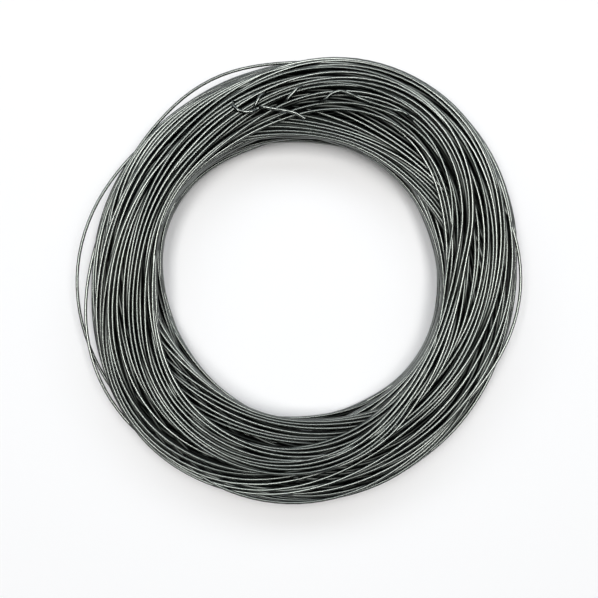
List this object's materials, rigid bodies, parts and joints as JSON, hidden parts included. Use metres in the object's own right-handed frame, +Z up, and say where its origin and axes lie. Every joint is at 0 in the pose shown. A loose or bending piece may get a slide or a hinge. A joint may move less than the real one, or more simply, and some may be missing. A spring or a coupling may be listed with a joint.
{
  "type": "wire coil",
  "caption": "Flat ring-shaped coil of bare round aluminium wire with an open bore and rounded flanks, raw stock to be paid off turn by turn.",
  "frame": {"origin": "centre of the coil's underside, on the floor", "axes": "+Z up along the coil's axis; +Y towards the tied end of the wire"},
  "size_m": [0.2278, 0.2332, 0.032],
  "materials": {
    "wire": "drawn and bare, dulled to a dark grey, with a soft sheen along each turn"
  },
  "bodies": {
    "root": {"wire_coil": "wire"}
  },
  "joints": []
}
